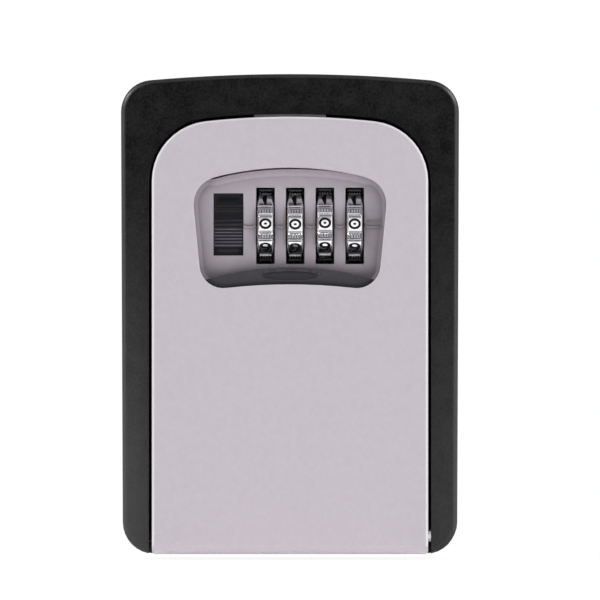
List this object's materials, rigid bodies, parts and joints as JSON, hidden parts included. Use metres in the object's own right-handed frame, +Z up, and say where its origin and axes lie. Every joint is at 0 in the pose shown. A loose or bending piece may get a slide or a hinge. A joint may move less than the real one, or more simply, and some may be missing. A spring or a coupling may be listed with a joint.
{
  "type": "key lock box",
  "caption": "Wall-mounted key lock box: an arched case, a drop-down door with number dials, an opening slider and a sliding shutter.",
  "frame": {"origin": "middle of the case's back face, which rests on the wall", "axes": "+Z up along the case, +Y into the wall, -Y towards the user, +X to the user's right"},
  "size_m": [0.0846, 0.04, 0.12],
  "materials": {
    "black_paint": "satin black powder coat",
    "grey_paint": "fine-textured pale grey coat",
    "cast_zinc": "bare die-cast zinc",
    "chrome": "polished chrome plate",
    "steel": "zinc-plated steel",
    "black_plastic": "moulded black plastic",
    "dark_plastic": "dark grey moulded plastic",
    "brass": "machined"
  },
  "bodies": {
    "case": {"case_body": "black_paint", "hinge_pin": "steel"},
    "door": {"front_cover": "grey_paint", "dial_housing": "grey_paint", "lock_cover": "cast_zinc", "spindle": "steel", "spindle_clip": "steel", "detent_spring": "steel", "hub_spring": "steel", "latch_spring_left": "steel", "latch_spring_right": "steel", "lock_cover_screw_1": "steel", "lock_cover_screw_2": "steel", "lock_cover_screw_3": "steel", "lock_cover_screw_4": "steel", "housing_screw_1": "steel", "housing_screw_2": "steel", "housing_screw_3": "steel", "housing_screw_4": "steel"},
    "shutter_body": {"shutter": "dark_plastic"},
    "latch": {"latch_plate": "cast_zinc", "opening_slider": "black_plastic", "slider_screw": "steel"},
    "reset_lever_body": {"reset_lever": "cast_zinc"},
    "dial_1_body": {"dial_1": "chrome"},
    "hub_1_body": {"hub_1": "brass"},
    "dial_2_body": {"dial_2": "chrome"},
    "hub_2_body": {"hub_2": "brass"},
    "dial_3_body": {"dial_3": "chrome"},
    "hub_3_body": {"hub_3": "brass"},
    "dial_4_body": {"dial_4": "chrome"},
    "hub_4_body": {"hub_4": "brass"}
  },
  "joints": [
    {"name": "door_hinge", "type": "hinge", "parent": "case", "child": "door", "pos_m": [0, -0.034, -0.0553], "axis": [1, 0, 0], "range_deg": [0, 90]},
    {"name": "shutter_slide", "type": "slide", "parent": "door", "child": "shutter_body", "axis": [0, 0, 1], "range_m": [0, 0.0256]},
    {"name": "opening_slide", "type": "slide", "parent": "door", "child": "latch", "axis": [0, 0, -1], "range_m": [0, 0.002], "stiffness_N_per_m": 600, "springref_m": -0.003, "deforming": ["latch_spring_left", "latch_spring_right"]},
    {"name": "dial_1_spin", "type": "hinge", "parent": "door", "child": "dial_1_body", "pos_m": [-0.00614, -0.02615, 0.022], "axis": [1, 0, 0], "continuous": true},
    {"name": "dial_2_spin", "type": "hinge", "parent": "door", "child": "dial_2_body", "pos_m": [0.0013, -0.02615, 0.022], "axis": [1, 0, 0], "continuous": true},
    {"name": "dial_3_spin", "type": "hinge", "parent": "door", "child": "dial_3_body", "pos_m": [0.00874, -0.02615, 0.022], "axis": [1, 0, 0], "continuous": true},
    {"name": "dial_4_spin", "type": "hinge", "parent": "door", "child": "dial_4_body", "pos_m": [0.01618, -0.02615, 0.022], "axis": [1, 0, 0], "continuous": true},
    {"name": "reset_slide", "type": "slide", "parent": "door", "child": "reset_lever_body", "axis": [1, 0, 0], "range_m": [0, 0.0016], "stiffness_N_per_m": 500, "springref_m": -0.002, "deforming": ["hub_spring"]},
    {"name": "hub_1_slide", "type": "slide", "parent": "dial_1_body", "child": "hub_1_body", "axis": [1, 0, 0], "range_m": [0, 0.0016]},
    {"name": "hub_2_slide", "type": "slide", "parent": "dial_2_body", "child": "hub_2_body", "axis": [1, 0, 0], "range_m": [0, 0.0016]},
    {"name": "hub_3_slide", "type": "slide", "parent": "dial_3_body", "child": "hub_3_body", "axis": [1, 0, 0], "range_m": [0, 0.0016]},
    {"name": "hub_4_slide", "type": "slide", "parent": "dial_4_body", "child": "hub_4_body", "axis": [1, 0, 0], "range_m": [0, 0.0016]}
  ],
  "couplings": [
    {"joint": "hub_1_slide", "follows": "reset_slide", "ratio": 1},
    {"joint": "hub_2_slide", "follows": "reset_slide", "ratio": 1},
    {"joint": "hub_3_slide", "follows": "reset_slide", "ratio": 1},
    {"joint": "hub_4_slide", "follows": "reset_slide", "ratio": 1}
  ]
}
